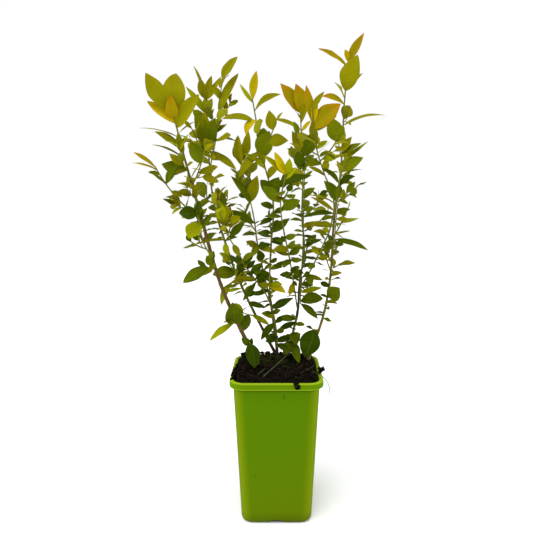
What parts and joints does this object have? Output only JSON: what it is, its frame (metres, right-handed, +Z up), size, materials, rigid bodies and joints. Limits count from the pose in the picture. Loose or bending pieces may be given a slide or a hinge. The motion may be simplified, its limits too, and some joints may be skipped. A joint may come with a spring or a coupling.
{
  "type": "potted blueberry bush",
  "caption": "Young leafy blueberry bush with arching canes, green to bronze leaves, in a tall square green plastic nursery pot of dark peat",
  "frame": {"origin": "middle of the pot's flat underside, on the ground", "axes": "+Z up along the plant, -Y towards the viewer, +X to the viewer's right; metres"},
  "size_m": [0.309, 0.2367, 0.6328],
  "materials": {
    "bark": "brown bark on the lower canes, greener above",
    "leaf_deep": "smooth shaded leaves, dark green, and their twigs",
    "leaf_green": "smooth mid-green leaves and their twigs",
    "leaf_olive": "yellow-green leaves of the upper crown and their twigs",
    "peat": "moist dark brown peat with bark chips",
    "pot": "satin moulded lime-green plastic"
  },
  "bodies": {
    "root": {"bough_front": "bark", "bough_left_front": "bark", "bough_right_front": "bark", "bough_slant": "bark", "cane_back_left": "bark", "cane_back_right": "bark", "cane_centre": "bark", "cane_left": "bark", "cane_left_back": "bark", "cane_rear": "bark", "cane_right": "bark", "peat": "peat", "pot": "pot", "shoot_back_left": "leaf_green", "shoot_back_left_high": "leaf_green", "shoot_back_left_low": "leaf_green", "shoot_back_left_mid": "leaf_deep", "shoot_back_right": "leaf_olive", "shoot_back_right_bend": "leaf_green", "shoot_back_right_high": "leaf_olive", "shoot_back_right_low": "leaf_deep", "shoot_back_right_mid": "leaf_deep", "shoot_centre": "leaf_olive", "shoot_centre_foot": "leaf_deep", "shoot_centre_high": "leaf_deep", "shoot_centre_low": "leaf_green", "shoot_centre_mid": "leaf_deep", "shoot_front": "leaf_green", "shoot_front_foot": "leaf_green", "shoot_front_low": "leaf_green", "shoot_left": "leaf_olive", "shoot_left_arch": "leaf_olive", "shoot_left_back": "leaf_olive", "shoot_left_back_bend": "leaf_green", "shoot_left_back_far": "leaf_deep", "shoot_left_back_low": "leaf_green", "shoot_left_back_mid": "leaf_green", "shoot_left_back_out": "leaf_green", "shoot_left_back_wing": "leaf_olive", "shoot_left_front": "leaf_olive", "shoot_left_front_low": "leaf_deep", "shoot_left_heel": "leaf_deep", "shoot_left_inner": "leaf_green", "shoot_left_knot": "leaf_green", "shoot_left_reach": "leaf_green", "shoot_left_shelf": "leaf_green", "shoot_left_step": "leaf_green", "shoot_rear": "leaf_green", "shoot_rear_low": "leaf_deep", "shoot_right": "leaf_olive", "shoot_right_back": "leaf_green", "shoot_right_foot": "leaf_deep", "shoot_right_front": "leaf_olive", "shoot_right_high": "leaf_green", "shoot_right_in": "leaf_green", "shoot_right_low": "leaf_green", "shoot_right_out": "leaf_olive", "shoot_right_wing": "leaf_olive", "shoot_slant": "leaf_green", "shoot_slant_low": "leaf_green"}
  },
  "joints": []
}
